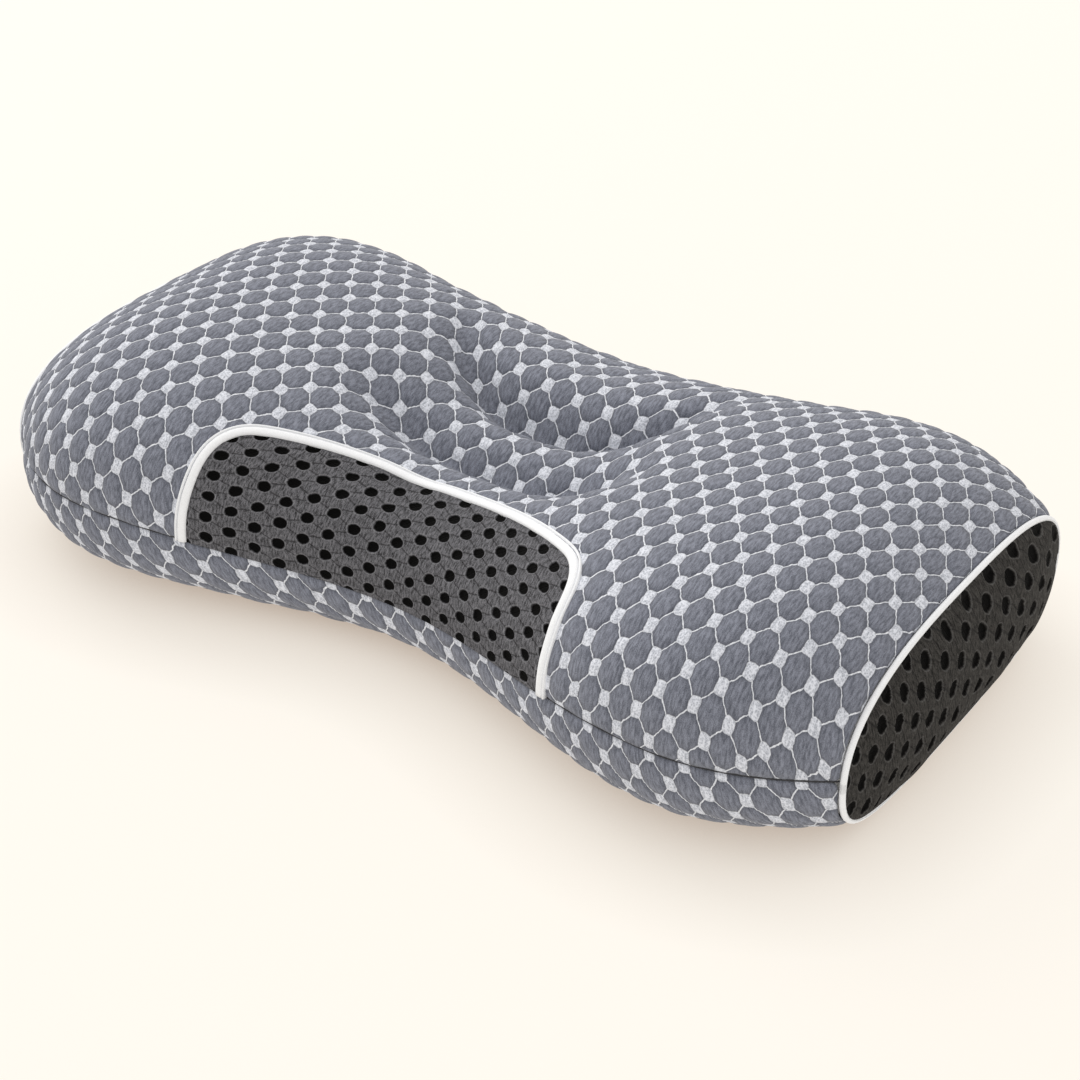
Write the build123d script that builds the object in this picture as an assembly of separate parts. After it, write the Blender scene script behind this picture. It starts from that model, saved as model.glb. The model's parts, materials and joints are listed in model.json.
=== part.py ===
"""Cervical traction pillow: a stuffed, hourglass-shaped neck pillow with a zipped knit cover.

Frame: millimetres, +Z up, +X along the pillow, -Y towards the neck roll. The origin is on the surface
that the pillow rests on, under the middle of its length and depth.
"""
from build123d import *
from math import cos, exp, hypot, pi, sin
import os

# ---- overall form: each value is given at the waist, at the side lobes and at the end panels ----
LENGTH = 600.0  # over the two bulging end panels
END_BULGE = 14.0  # how far each end panel stands out past its piping
PANEL_X = LENGTH / 2 - END_BULGE  # the plane of each end panel's piping
LOBE_X = 195.0  # where the side lobes are deepest
CREST_X = 212.0  # where the side lobes are highest
FRONT_WAIST, FRONT_LOBE, FRONT_END = 114.0, 158.0, 117.0  # front edge, forward of the middle
BACK_WAIST, BACK_LOBE, BACK_END = 151.0, 158.0, 134.0  # back edge, behind the middle
BACK_FLAT = 130.0  # the back wall is straight to this distance from the middle
TOP_WAIST, TOP_LOBE, TOP_END = 107.0, 136.0, 108.0  # height of the top
SEAM_WAIST, SEAM_LOBE, SEAM_END = 47.0, 63.0, 58.0  # height of the front seam
BACK_SEAM = 56.0  # height of the back seam, which is level for the zip
END_LIFT = 11.0  # how far the underside rises off the surface at the end panels
TOP_SQUARENESS, TOP_FULLNESS, BASE_SQUARENESS = 2.95, 2.3, 3.3  # exponents of the rounded outline
SETTLE = 1.2  # how much of the underside its own weight presses flat

# ---- the two troughs that the partitions pull into the top ----
CRADLE_HALF = 84.0  # half the length of the troughs
FRONT_TROUGH_Y, FRONT_TROUGH_DEPTH, FRONT_TROUGH_BEND = -22.0, 19.0, 8.0
REAR_TROUGH_Y, REAR_TROUGH_DEPTH, REAR_TROUGH_BEND = 38.0, 25.0, 30.0  # each curves back at its ends
TROUGH_WIDTH = 15.0
CRADLE_SINK = 14.0  # how far the middle of the top lies below the rolls' line
CRADLE_DEPTH = 60.0  # how far that sinking reaches, front to back

# ---- layers, from the outside in ----
COVER_T = 3.0  # quilted knit, and the spacer mesh of the panels
LAYER_GAP = 0.3
ZIP_ROOM = 1.5  # between the cover and the liner, where the slider's back plate runs
LINER_T = 0.8
LINER_INSET = COVER_T + ZIP_ROOM
CORE_INSET = LINER_INSET + LINER_T + LAYER_GAP
PARTITION_T = 1.2
PARTITION_X = 112.0

# ---- piping and front panel ----
PIPE_R = 2.25  # round piping of the end panels
PIPE_SUNK = 0.5  # how far its centre lies inside the cover's outline
SEWN_GAP = 0.05
BAND_W = 6.5  # flat piping round the front panel
BAND_PROUD = 1.2
FRONT_PANEL_HALF = 129.0
FRONT_PANEL_TOP_Y = -60.0  # where its upper edge crosses the middle
FRONT_PANEL_CORNER = 44.0
FRONT_PANEL_BOW = 22.0  # how much further forward the upper edge is where the corners begin
END_PANEL_T = 4.0

# ---- zip ----
ZIP_HALF = 120.0
ZIP_WINDOW = 12.0  # height of the slit in the back wall
COIL_T = 2.2
COIL_GAP = 1.4  # between the two rows, where the slider's web runs
TAPE_T = 0.8
TAPE_END = 3.0  # how far the tapes run on past the stops
STOP_LENGTH = 3.0
SLIDER_LENGTH, SLIDER_WIDTH = 11.0, 8.8
SLIDER_PLATE = 0.9
SLIDER_PLAY = 0.3
SLIDER_WEB = 0.8
SLIDER_FLANGE = 1.1
STOP_PLAY = 0.5
LUG_T, LUG_LENGTH = 1.8, 4.4
PIN_R = 0.75
PIN_PLAY = 0.07
PIN_LIFT = 1.6  # height of the pull's pin over the slider's face
ARM_T, ARM_PLAY = 1.2, 0.3
PULL_LENGTH, PULL_T = 26.0, 1.2

TOP_POINTS, BASE_POINTS = 57, 21  # along each half of a section
STATION_STEP = 20.0
FAR = 400.0  # longer than anything cut with it


def eased(x, waist, lobe, end, lobe_x=LOBE_X, flat=0.0):
    """A value at station x: level out to flat, then a smooth rise to the lobe, then a fall to the end."""
    along = abs(x)
    if along <= lobe_x:
        share = max(0.0, (along - flat) / (lobe_x - flat))
        return waist + (lobe - waist) * (1 - cos(pi * share)) / 2
    share = (along - lobe_x) / (PANEL_X - lobe_x)
    return lobe - (lobe - end) * share**2


def signed_power(value, power):
    return abs(value) ** power * (1 if value >= 0 else -1)


def seam_height(x):
    return eased(x, SEAM_WAIST, SEAM_LOBE, SEAM_END)


def trough(x, y):
    """How far the top is pulled down at (x, y)."""
    reach = exp(-abs(x / CRADLE_HALF) ** 5)
    bend = abs(x / CRADLE_HALF) ** 3
    front_y = FRONT_TROUGH_Y + FRONT_TROUGH_BEND * bend
    rear_y = REAR_TROUGH_Y + REAR_TROUGH_BEND * bend
    front = FRONT_TROUGH_DEPTH * exp(-(((y - front_y) / TROUGH_WIDTH) ** 2))
    rear = REAR_TROUGH_DEPTH * exp(-(((y - rear_y) / TROUGH_WIDTH) ** 2))
    sink = CRADLE_SINK * exp(-((y / CRADLE_DEPTH) ** 2))
    return reach * (front + rear + sink)


def outline(x):
    """The outside of the pillow at station x: (y, z) along the top, then along the underside."""
    front = -eased(x, FRONT_WAIST, FRONT_LOBE, FRONT_END)
    back = eased(x, BACK_WAIST, BACK_LOBE, BACK_END, flat=BACK_FLAT)
    crown = eased(x, TOP_WAIST, TOP_LOBE, TOP_END, lobe_x=CREST_X)
    lift = END_LIFT * max(0.0, (abs(x) - LOBE_X) / (PANEL_X - LOBE_X)) ** 2 - SETTLE
    middle, half = (front + back) / 2, (back - front) / 2
    top, base = [], []
    for i in range(TOP_POINTS):
        angle = pi * (1 - i / (TOP_POINTS - 1))
        side = signed_power(cos(angle), 2 / TOP_SQUARENESS)
        seam = seam_height(x) * (1 - side) / 2 + BACK_SEAM * (1 + side) / 2
        y = middle + half * side
        share = sin(angle) ** (2 / TOP_FULLNESS) if 0 < i < TOP_POINTS - 1 else 0.0
        top.append((y, seam + (crown - seam - trough(x, y)) * share))
    for i in range(BASE_POINTS):
        angle = pi * i / (BASE_POINTS - 1)
        side = signed_power(cos(angle), 2 / BASE_SQUARENESS)
        seam = seam_height(x) * (1 - side) / 2 + BACK_SEAM * (1 + side) / 2
        drop = (seam - lift) * sin(angle) ** (2 / BASE_SQUARENESS) if 0 < i < BASE_POINTS - 1 else 0.0
        base.append((middle + half * side, seam - drop))
    return top, base


def moved_in(points, inset):
    """The same open run of points, each moved square to the run by inset; its ends move along Y."""
    moved = []
    last = len(points) - 1
    for i, (y, z) in enumerate(points):
        if i in (0, last):
            inward = 1 if y < points[last - i][0] else -1
            moved.append((y + inward * inset, z))
            continue
        dy = points[i + 1][0] - points[i - 1][0]
        dz = points[i + 1][1] - points[i - 1][1]
        long = hypot(dy, dz)
        moved.append((y + dz / long * inset, z - dy / long * inset))
    return moved


def spline(places):
    """A smooth edge through places, evenly parameterised so that edges side by side match."""
    steps = [i / (len(places) - 1) for i in range(len(places))]
    return Edge.make_spline(places, parameters=steps)


def section(x, inset=0.0, share=1.0, at=None):
    """A closed wire at station x, moved in by inset and shrunk to a share of its size, placed at x = at."""
    runs = [moved_in(run, inset) for run in outline(x)]
    ys = [y for y, _ in runs[0]]
    centre_y = (min(ys) + max(ys)) / 2
    centre_z = (max(z for _, z in runs[0]) + min(z for _, z in runs[1])) / 2
    where = x if at is None else at
    edges = []
    for run in runs:
        edges.append(
            spline([(where, centre_y + (y - centre_y) * share, centre_z + (z - centre_z) * share) for y, z in run])
        )
    return Wire(edges)


def stations(half_length):
    count = 2 * round(half_length / STATION_STEP) + 1
    return [half_length * (2 * i / (count - 1) - 1) for i in range(count)]


def layer(half, outer_inset, inner_inset, half_length):
    """One cloth layer from seam to seam: half 0 lies over the top, half 1 under the base."""
    wires = []
    for x in stations(half_length):
        run = outline(x)[half]
        outer = [(x, y, z) for y, z in moved_in(run, outer_inset)]
        inner = [(x, y, z) for y, z in moved_in(run, inner_inset)]
        edges = [spline(outer), Edge.make_line(outer[-1], inner[-1])]
        edges += [spline(inner[::-1]), Edge.make_line(inner[0], outer[0])]
        wires.append(Wire(edges))
    return Solid.make_loft(wires)


def bulge(side, inset, base_x, rise):
    """The bulge over one end: side is -1 or 1, base_x the distance of its rim from the middle."""
    steps = [(0.0, 1.0), (0.27, 0.9), (0.54, 0.75), (0.8, 0.55), (1.0, 0.28)]
    rings = [section(side * PANEL_X, inset, share, side * (base_x + rise * out)) for out, share in steps]
    return Solid.make_loft(rings)


def filled(inset):
    """Everything inside the outline moved in by inset, with both bulging ends."""
    whole = Solid.make_loft([section(x, inset) for x in stations(PANEL_X)])
    for side in (-1, 1):
        whole = whole + bulge(side, inset, PANEL_X, END_BULGE - inset)
    return whole


def block(x0, x1, y0, y1, z0, z1):
    return Pos((x0 + x1) / 2, (y0 + y1) / 2, (z0 + z1) / 2) * Box(x1 - x0, y1 - y0, z1 - z0)


def rod(radius, start, end):
    """A round bar between two points."""
    start, end = Vector(start), Vector(end)
    return Solid.make_cylinder(radius, (end - start).length, Plane(origin=start, z_dir=end - start))


def front_panel_prism(inset):
    """The front panel's plan, moved in by inset, standing up through the cover."""
    half = FRONT_PANEL_HALF - inset
    corner_y = FRONT_PANEL_TOP_Y - FRONT_PANEL_BOW - inset
    shoulder_y = corner_y - FRONT_PANEL_CORNER
    in_x = half - FRONT_PANEL_CORNER
    side_points = [
        (half, shoulder_y),
        (half - 0.29 * FRONT_PANEL_CORNER, corner_y - 0.29 * FRONT_PANEL_CORNER),
        (in_x, corner_y + 0.12 * FRONT_PANEL_BOW),
    ]
    top_edge = [(-x, y) for x, y in side_points] + [(0, FRONT_PANEL_TOP_Y - inset)] + side_points[::-1]
    with BuildSketch() as plan:
        with BuildLine():
            Spline(*top_edge, tangents=((0, 1), (0, -1)), tangent_scalars=(1.6, 1.6))
            Polyline((half, shoulder_y), (half, -FAR), (-half, -FAR), (-half, shoulder_y))
        make_face()
    return extrude(plan.sketch, FAR)


# ---- cover ----
tube_half = PANEL_X - PIPE_R - SEWN_GAP
window_half = ZIP_HALF + TAPE_END
zip_window = block(-window_half, window_half, 100, FAR, BACK_SEAM - ZIP_WINDOW / 2, BACK_SEAM + ZIP_WINDOW / 2)
above_floor = block(-FAR, FAR, -FAR, FAR, 0, FAR)
knit_top = layer(0, 0, COVER_T, tube_half)
band_outer = front_panel_prism(0)
band_inner = front_panel_prism(BAND_W)
top_cover = knit_top - band_outer - zip_window
bottom_cover = (layer(1, 0, COVER_T, tube_half) & above_floor) - zip_window
front_mesh_panel = knit_top & front_panel_prism(BAND_W + SEWN_GAP)
front_piping = (layer(0, -BAND_PROUD, COVER_T, 160.0) & front_panel_prism(SEWN_GAP)) - band_inner


def end_panel(side):
    """The bulging mesh panel of one end."""
    base_x = PANEL_X + PIPE_R + SEWN_GAP
    skin = bulge(side, 0, base_x, PANEL_X + END_BULGE - base_x)
    return skin - bulge(side, END_PANEL_T, PANEL_X, END_BULGE - END_PANEL_T)


def end_piping(side):
    """The round piping between the cover and one end panel."""
    top, base = (moved_in(run, PIPE_SUNK) for run in outline(side * PANEL_X))
    places = [(side * PANEL_X, y, z) for y, z in top[::2] + base[2:-1:2]]
    path = Edge.make_spline(places, periodic=True)
    ring = Wire([Edge.make_circle(PIPE_R, Plane(origin=path @ 0, z_dir=path % 0))])
    return sweep(Face(ring), path)


# ---- liner, walls between the chambers, and filling ----
liner = filled(LINER_INSET) - filled(LINER_INSET + LINER_T)
LINER_SEAM = 40.0
below_liner_seam = block(-FAR, FAR, -FAR, FAR, -FAR, LINER_SEAM)
core = filled(CORE_INSET)
wall = PARTITION_T / 2
gap = wall + SEWN_GAP
inner_x = PARTITION_X - gap


def chamber(x0, x1, y0, y1):
    return core & block(x0, x1, y0, y1, -FAR, FAR)


# ---- zip, in the flat of the back wall ----
zip_y = BACK_WAIST - COVER_T / 2
row_z = (COIL_GAP + COIL_T) / 2
coil_half = ZIP_HALF - STOP_LENGTH
tape_z = COIL_GAP / 2 + COIL_T
slider_x = coil_half - STOP_PLAY - SLIDER_LENGTH / 2
plate_in = COIL_T / 2 + SLIDER_PLAY
plate_out = plate_in + SLIDER_PLATE
lug_y = zip_y + plate_out
pin_y = lug_y + PIN_LIFT


def tape(side):
    edges = sorted((BACK_SEAM + side * tape_z, BACK_SEAM + side * ZIP_WINDOW / 2))
    return block(-window_half, window_half, zip_y - TAPE_T / 2, zip_y + TAPE_T / 2, *edges)


def coil(side):
    z = BACK_SEAM + side * row_z
    return rod(COIL_T / 2, (-coil_half, zip_y, z), (coil_half, zip_y, z))


def stop(side):
    """The metal stop over the ends of both rows."""
    ends = sorted((side * (coil_half + SEWN_GAP), side * ZIP_HALF))
    reach = tape_z - SEWN_GAP
    clip = block(*ends, zip_y - 1.3, zip_y + 1.3, BACK_SEAM - reach, BACK_SEAM + reach)
    return clip


def slider():
    """Two plates on a middle web, flanged round the rows, with a lug for the pull."""
    x0, x1 = slider_x - SLIDER_LENGTH / 2, slider_x + SLIDER_LENGTH / 2
    half_width = SLIDER_WIDTH / 2
    slot = TAPE_T / 2 + SLIDER_PLAY
    made = block(x0, x1, zip_y - plate_in, zip_y + plate_in, BACK_SEAM - SLIDER_WEB / 2, BACK_SEAM + SLIDER_WEB / 2)
    for side in (-1, 1):
        ys = sorted((zip_y + side * plate_in, zip_y + side * plate_out))
        plate = block(x0, x1, *ys, BACK_SEAM - half_width, BACK_SEAM + half_width)
        made = made + fillet(plate.edges().filter_by(Axis.Y), 1.6)
        for edge in (-1, 1):
            ys = sorted((zip_y + side * slot, zip_y + side * plate_in))
            zs = sorted((BACK_SEAM + edge * (half_width - SLIDER_FLANGE), BACK_SEAM + edge * half_width))
            made = made + block(x0 + 1.6, x1 - 1.6, *ys, *zs)
    lug = block(
        slider_x - LUG_LENGTH / 2,
        slider_x + LUG_LENGTH / 2,
        lug_y,
        pin_y + 1.8,
        BACK_SEAM - LUG_T / 2,
        BACK_SEAM + LUG_T / 2,
    )
    lug = fillet(lug.edges().filter_by(Axis.Z).group_by(Axis.Y)[-1], 1.7)
    hole = rod(PIN_R + PIN_PLAY, (slider_x, pin_y, BACK_SEAM - LUG_T), (slider_x, pin_y, BACK_SEAM + LUG_T))
    return made + lug - hole


def pull():
    """A pin through the lug, two arms and a finger tab, lying back along the closed zip."""
    arm_in = LUG_T / 2 + ARM_PLAY
    arm_out = arm_in + ARM_T
    made = rod(PIN_R, (slider_x, pin_y, BACK_SEAM - arm_in - 0.1), (slider_x, pin_y, BACK_SEAM + arm_in + 0.1))
    joint_x = slider_x - 6.0
    for side in (-1, 1):
        zs = sorted((BACK_SEAM + side * arm_in, BACK_SEAM + side * arm_out))
        made = made + block(joint_x, slider_x + 1.0, pin_y - PULL_T / 2, pin_y + PULL_T / 2, *zs)
    tab = block(
        slider_x - PULL_LENGTH,
        joint_x,
        pin_y - PULL_T / 2,
        pin_y + PULL_T / 2,
        BACK_SEAM - 3.2,
        BACK_SEAM + 3.2,
    )
    tab = fillet(tab.edges().filter_by(Axis.Y).group_by(Axis.X)[0], 2.6)
    tab = tab - rod(1.4, (slider_x - PULL_LENGTH + 4.4, 0, BACK_SEAM), (slider_x - PULL_LENGTH + 4.4, FAR, BACK_SEAM))
    return made + tab


nodes = {
    "top_cover": top_cover,
    "bottom_cover": bottom_cover,
    "front_mesh_panel": front_mesh_panel,
    "left_mesh_gusset": end_panel(-1),
    "right_mesh_gusset": end_panel(1),
    "front_piping": front_piping,
    "left_piping": end_piping(-1),
    "right_piping": end_piping(1),
    "liner_top": liner - below_liner_seam,
    "liner_bottom": liner & below_liner_seam,
    "neck_roll_fill": chamber(-inner_x, inner_x, -FAR, FRONT_TROUGH_Y - gap),
    "head_cradle_fill": chamber(-inner_x, inner_x, FRONT_TROUGH_Y + gap, REAR_TROUGH_Y - gap),
    "rear_roll_fill": chamber(-inner_x, inner_x, REAR_TROUGH_Y + gap, FAR),
    "left_bolster_fill": chamber(-FAR, -PARTITION_X - gap, -FAR, FAR),
    "right_bolster_fill": chamber(PARTITION_X + gap, FAR, -FAR, FAR),
    "left_partition": chamber(-PARTITION_X - wall, -PARTITION_X + wall, -FAR, FAR),
    "right_partition": chamber(PARTITION_X - wall, PARTITION_X + wall, -FAR, FAR),
    "front_partition": chamber(-inner_x, inner_x, FRONT_TROUGH_Y - wall, FRONT_TROUGH_Y + wall),
    "rear_partition": chamber(-inner_x, inner_x, REAR_TROUGH_Y - wall, REAR_TROUGH_Y + wall),
    "zip_tape_upper": tape(1),
    "zip_tape_lower": tape(-1),
    "zip_coil_upper": coil(1),
    "zip_coil_lower": coil(-1),
    "zip_stop_left": stop(-1),
    "zip_stop_right": stop(1),
    "zip_slider": slider(),
    "zip_pull": pull(),
}

os.makedirs("parts", exist_ok=True)
for name, solid in nodes.items():
    if isinstance(solid, ShapeList):
        solid = Compound(solid)
    solids = solid.solids()
    print(name, len(solids), round(solid.volume, 1), solid.is_valid)
    export_step(solids[0] if len(solids) == 1 else solid, "parts/" + name + ".step")
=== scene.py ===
import bpy
import json
import numpy as np
from math import cos, pi, radians, sin
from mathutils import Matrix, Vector
from mathutils.bvhtree import BVHTree
from mathutils.kdtree import KDTree
from mathutils.geometry import interpolate_bezier


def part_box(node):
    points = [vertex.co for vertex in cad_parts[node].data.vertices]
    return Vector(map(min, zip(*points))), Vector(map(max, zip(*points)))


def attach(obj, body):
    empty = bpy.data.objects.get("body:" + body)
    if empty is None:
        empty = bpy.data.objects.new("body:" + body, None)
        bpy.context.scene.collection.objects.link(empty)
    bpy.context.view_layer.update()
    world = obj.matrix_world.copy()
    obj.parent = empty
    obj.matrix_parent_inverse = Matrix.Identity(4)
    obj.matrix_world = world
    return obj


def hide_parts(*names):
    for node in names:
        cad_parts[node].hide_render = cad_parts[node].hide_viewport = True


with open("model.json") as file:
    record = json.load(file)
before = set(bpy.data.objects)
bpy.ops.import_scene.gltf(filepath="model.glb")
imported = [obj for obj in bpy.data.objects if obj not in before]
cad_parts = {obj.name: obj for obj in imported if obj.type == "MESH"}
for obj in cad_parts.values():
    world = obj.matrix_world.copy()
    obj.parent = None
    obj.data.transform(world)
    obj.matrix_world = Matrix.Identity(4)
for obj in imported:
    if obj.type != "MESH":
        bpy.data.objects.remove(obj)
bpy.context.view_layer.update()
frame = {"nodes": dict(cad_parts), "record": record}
bpy.ops.object.select_all(action="DESELECT")

MM = 0.001
# ---- pattern repeats of the cloths ----
CELL_X, CELL_Y = 10.7 * MM, 13.6 * MM  # half the jacquard's repeat along and across the pillow
FRONT_HOLES = ((13.2, 6.5), (1.2, -11.8), 3.8, 1.3)  # steps from hole to hole, half width and squash, mm
END_HOLES = ((16.2, -8.3), (-10.0, -10.5), 4.4, 1.0)
FRONT_SHIFT = (7.8, -82.4)  # where the front mesh's pattern starts, mm
END_LEAN, END_RISE = 0.12, 0.86  # how the end mesh is laid: its slant, and its take-up in height
END_BOW, END_STRETCH = 12, 14  # mm, at 100 mm from the panel's middle
KNIT_THICK, FRONT_THICK, END_THICK = 2.6, 1.8, 2.2  # mm, the cloths' own thickness
HOLE_SINK_FRONT, HOLE_SINK_END = 1.3, 1.8  # mm, how far the cloth dips in a mesh hole
PAD_PUFF, SQUARE_PUFF, SEAM_DRAW = 1.05, 0.45, 0.3  # mm, how far the quilting stands out and draws in
SIM_STEPS = 20


# ---------------------------------------------------------------- the stuffed form

def eased(x, waist, lobe, end, lobe_x=195.0, flat=0.0):
    """A level waist, a smooth rise to the side lobe, and a fall to the end panel; x in millimetres."""
    along = abs(x)
    if along <= lobe_x:
        share = max(0.0, (along - flat) / (lobe_x - flat))
        return waist + (lobe - waist) * (1 - cos(pi * share)) / 2
    return lobe - (lobe - end) * ((along - lobe_x) / (PANEL_X - lobe_x)) ** 2


right_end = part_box("right_piping")
PANEL_X = (right_end[0][0] + right_end[1][0]) / 2 / MM
BACK_SEAM = 56.0
RIDGE_Y = 20.0


def section(x, half, count):
    """Points (y, z) along the top (half 0) or the base (half 1) at station x, evenly spaced by length."""
    front = -eased(x, 114, 158, 117)
    back = eased(x, 151, 158, 134, flat=130)
    crown = eased(x, 107, 136, 108, lobe_x=212)
    front_seam = eased(x, 47, 63, 58)
    angle = np.linspace(pi, 0, 181)
    power = 2 / 2.95 if half == 0 else 2 / 3.3
    side = np.sign(np.cos(angle)) * np.abs(np.cos(angle)) ** power
    y = (front + back) / 2 + (back - front) / 2 * side
    seam = front_seam * (1 - side) / 2 + BACK_SEAM * (1 + side) / 2
    if half == 0:
        fullness = np.clip(np.sin(angle), 0, 1) ** (2 / 2.3)
        z = seam + (crown - seam - trough_depth(x, y)) * fullness
    else:
        lift = 11 * max(0.0, (abs(x) - 195) / (PANEL_X - 195)) ** 2 - 1.2
        z = np.maximum(seam - (seam - lift) * np.clip(np.sin(angle), 0, 1) ** power, 0.4)
    run = np.concatenate([[0], np.cumsum(np.hypot(np.diff(y), np.diff(z)))])
    even = np.linspace(0, run[-1], count)
    ridge = np.interp(RIDGE_Y, y, run)
    y, z = np.interp(even, run, y), np.interp(even, run, z)
    return y, z, even, ridge


def trough_lines(x):
    bend = abs(x / 84) ** 3
    return -22 + 8 * bend, 38 + 30 * bend


def trough_depth(x, y):
    """How far the inner walls pull the head cradle down."""
    front_y, rear_y = trough_lines(x)
    pulled = 19 * np.exp(-(((y - front_y) / 15) ** 2)) + 25 * np.exp(-(((y - rear_y) / 15) ** 2))
    return np.exp(-abs(x / 84) ** 5) * (pulled + 14 * np.exp(-((y / 60) ** 2)))


def cloth_x(x):
    """Distance along the cloth: the knit is slack at the waist and closer on the lobes."""
    return x * (0.93 + 0.136 * (x / 286) ** 2) + 4.9


def cloth_drift(x):
    """How far the knit's rows wander across the pillow."""
    return 14 * sin(2.2 * x / 286) - 4


COLUMNS = 92
TUBE_HALF = PANEL_X - 1.4
columns_x = np.linspace(-TUBE_HALF, TUBE_HALF, COLUMNS)


def cover_grid(half, rows):
    """Grid of points and cloth coordinates for one cover, front seam to back seam."""
    points, cloth = np.zeros((COLUMNS, rows, 3)), np.zeros((COLUMNS, rows, 2))
    for i, x in enumerate(columns_x):
        y, z, run, ridge = section(x, half, rows)
        points[i] = np.stack([np.full(rows, x), y, z], 1)
        across = 0.97 * (run - ridge) + cloth_drift(x) if half == 0 else -run
        along = cloth_x(x) + (0.0 if half == 0 else 0.3) * across
        cloth[i] = np.stack([along, across], 1)
    return points * MM, cloth * MM


def end_grid(side, around=52, rings=18):
    """Rings of points over one bulging end panel, from its piping inwards."""
    x = side * PANEL_X
    top_y, top_z, _, _ = section(x, 0, around + 1)
    base_y, base_z, _, _ = section(x, 1, around + 1)
    y = np.concatenate([top_y[:-1], base_y[::-1][:-1]])
    z = np.concatenate([top_z[:-1], base_z[::-1][:-1]])
    middle = np.array([(y.min() + y.max()) / 2, (z.min() + z.max()) / 2])
    shares = np.concatenate([np.linspace(1, 0.06, rings - 1), [0.012]])
    points = np.zeros((rings, len(y), 3))
    for k, share in enumerate(shares):
        points[k, :, 0] = side * (PANEL_X + 1.4 + 11.1 * (1 - share**2.6))
        points[k, :, 1] = middle[0] + (y - middle[0]) * share
        points[k, :, 2] = middle[1] + (z - middle[1]) * share
    y, z = points[:, :, 1], points[:, :, 2]
    along = y + END_LEAN * z - END_STRETCH * (y / 100) ** 2
    up = END_RISE * z + END_BOW * (y / 100) ** 2
    return points * MM, np.stack([along, up], -1) * MM


# ---------------------------------------------------------------- mesh helpers

def grid_faces(n, m, wrap=False):
    i, j = np.meshgrid(np.arange(n - 1), np.arange(m if wrap else m - 1), indexing="ij")
    i, j = i.ravel(), j.ravel()
    k = (j + 1) % m
    return np.stack([i * m + j, (i + 1) * m + j, (i + 1) * m + k, i * m + k], 1)


def new_piece(name, points, faces, cloth=None):
    """A mesh object, smooth shaded, with its cloth coordinates as a UV map."""
    mesh = bpy.data.meshes.new(name)
    corners_of = [[int(v) for v in face] for face in faces]
    mesh.from_pydata(np.asarray(points).reshape(-1, 3).tolist(), [], corners_of)
    if cloth is not None:
        layer = mesh.uv_layers.new(name="cloth")
        corners = np.zeros(len(mesh.loops), dtype=np.int32)
        mesh.loops.foreach_get("vertex_index", corners)
        layer.data.foreach_set("uv", np.asarray(cloth).reshape(-1, 2)[corners].astype(np.float32).ravel())
    mesh.polygons.foreach_set("use_smooth", [True] * len(mesh.polygons))
    piece = bpy.data.objects.new(name, mesh)
    bpy.context.collection.objects.link(piece)
    return piece


def only(piece):
    bpy.ops.object.select_all(action="DESELECT")
    piece.select_set(True)
    bpy.context.view_layer.objects.active = piece


def applied(piece, kind, **settings):
    """Adds one modifier with these settings and applies it."""
    modifier = piece.modifiers.new(kind.title(), kind)
    for key, value in settings.items():
        setattr(modifier, key, value)
    only(piece)
    bpy.ops.object.modifier_apply(modifier=modifier.name)
    return piece


def co_of(piece):
    points = np.zeros(len(piece.data.vertices) * 3, dtype=np.float32)
    piece.data.vertices.foreach_get("co", points)
    return points.reshape(-1, 3).astype(float)


def normals_of(piece):
    normals = np.zeros(len(piece.data.vertices) * 3, dtype=np.float32)
    piece.data.vertices.foreach_get("normal", normals)
    return normals.reshape(-1, 3).astype(float)


def set_co(piece, points):
    piece.data.vertices.foreach_set("co", np.asarray(points, dtype=np.float32).ravel())
    piece.data.update()


def cloth_of(piece):
    """Cloth coordinates per vertex."""
    corners = np.zeros(len(piece.data.loops), dtype=np.int32)
    piece.data.loops.foreach_get("vertex_index", corners)
    flat = np.zeros(len(corners) * 2, dtype=np.float32)
    piece.data.uv_layers[0].data.foreach_get("uv", flat)
    cloth = np.zeros((len(piece.data.vertices), 2))
    cloth[corners] = flat.reshape(-1, 2)
    return cloth


def skin_of(piece):
    return BVHTree.FromPolygons(
        [v.co.copy() for v in piece.data.vertices], [tuple(p.vertices) for p in piece.data.polygons]
    )


# ---------------------------------------------------------------- stuffing the cover

ROWS = (68, 50)
cover_parts = [cover_grid(0, ROWS[0]), cover_grid(1, ROWS[1])]
end_parts = [end_grid(-1), end_grid(1)]


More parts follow.
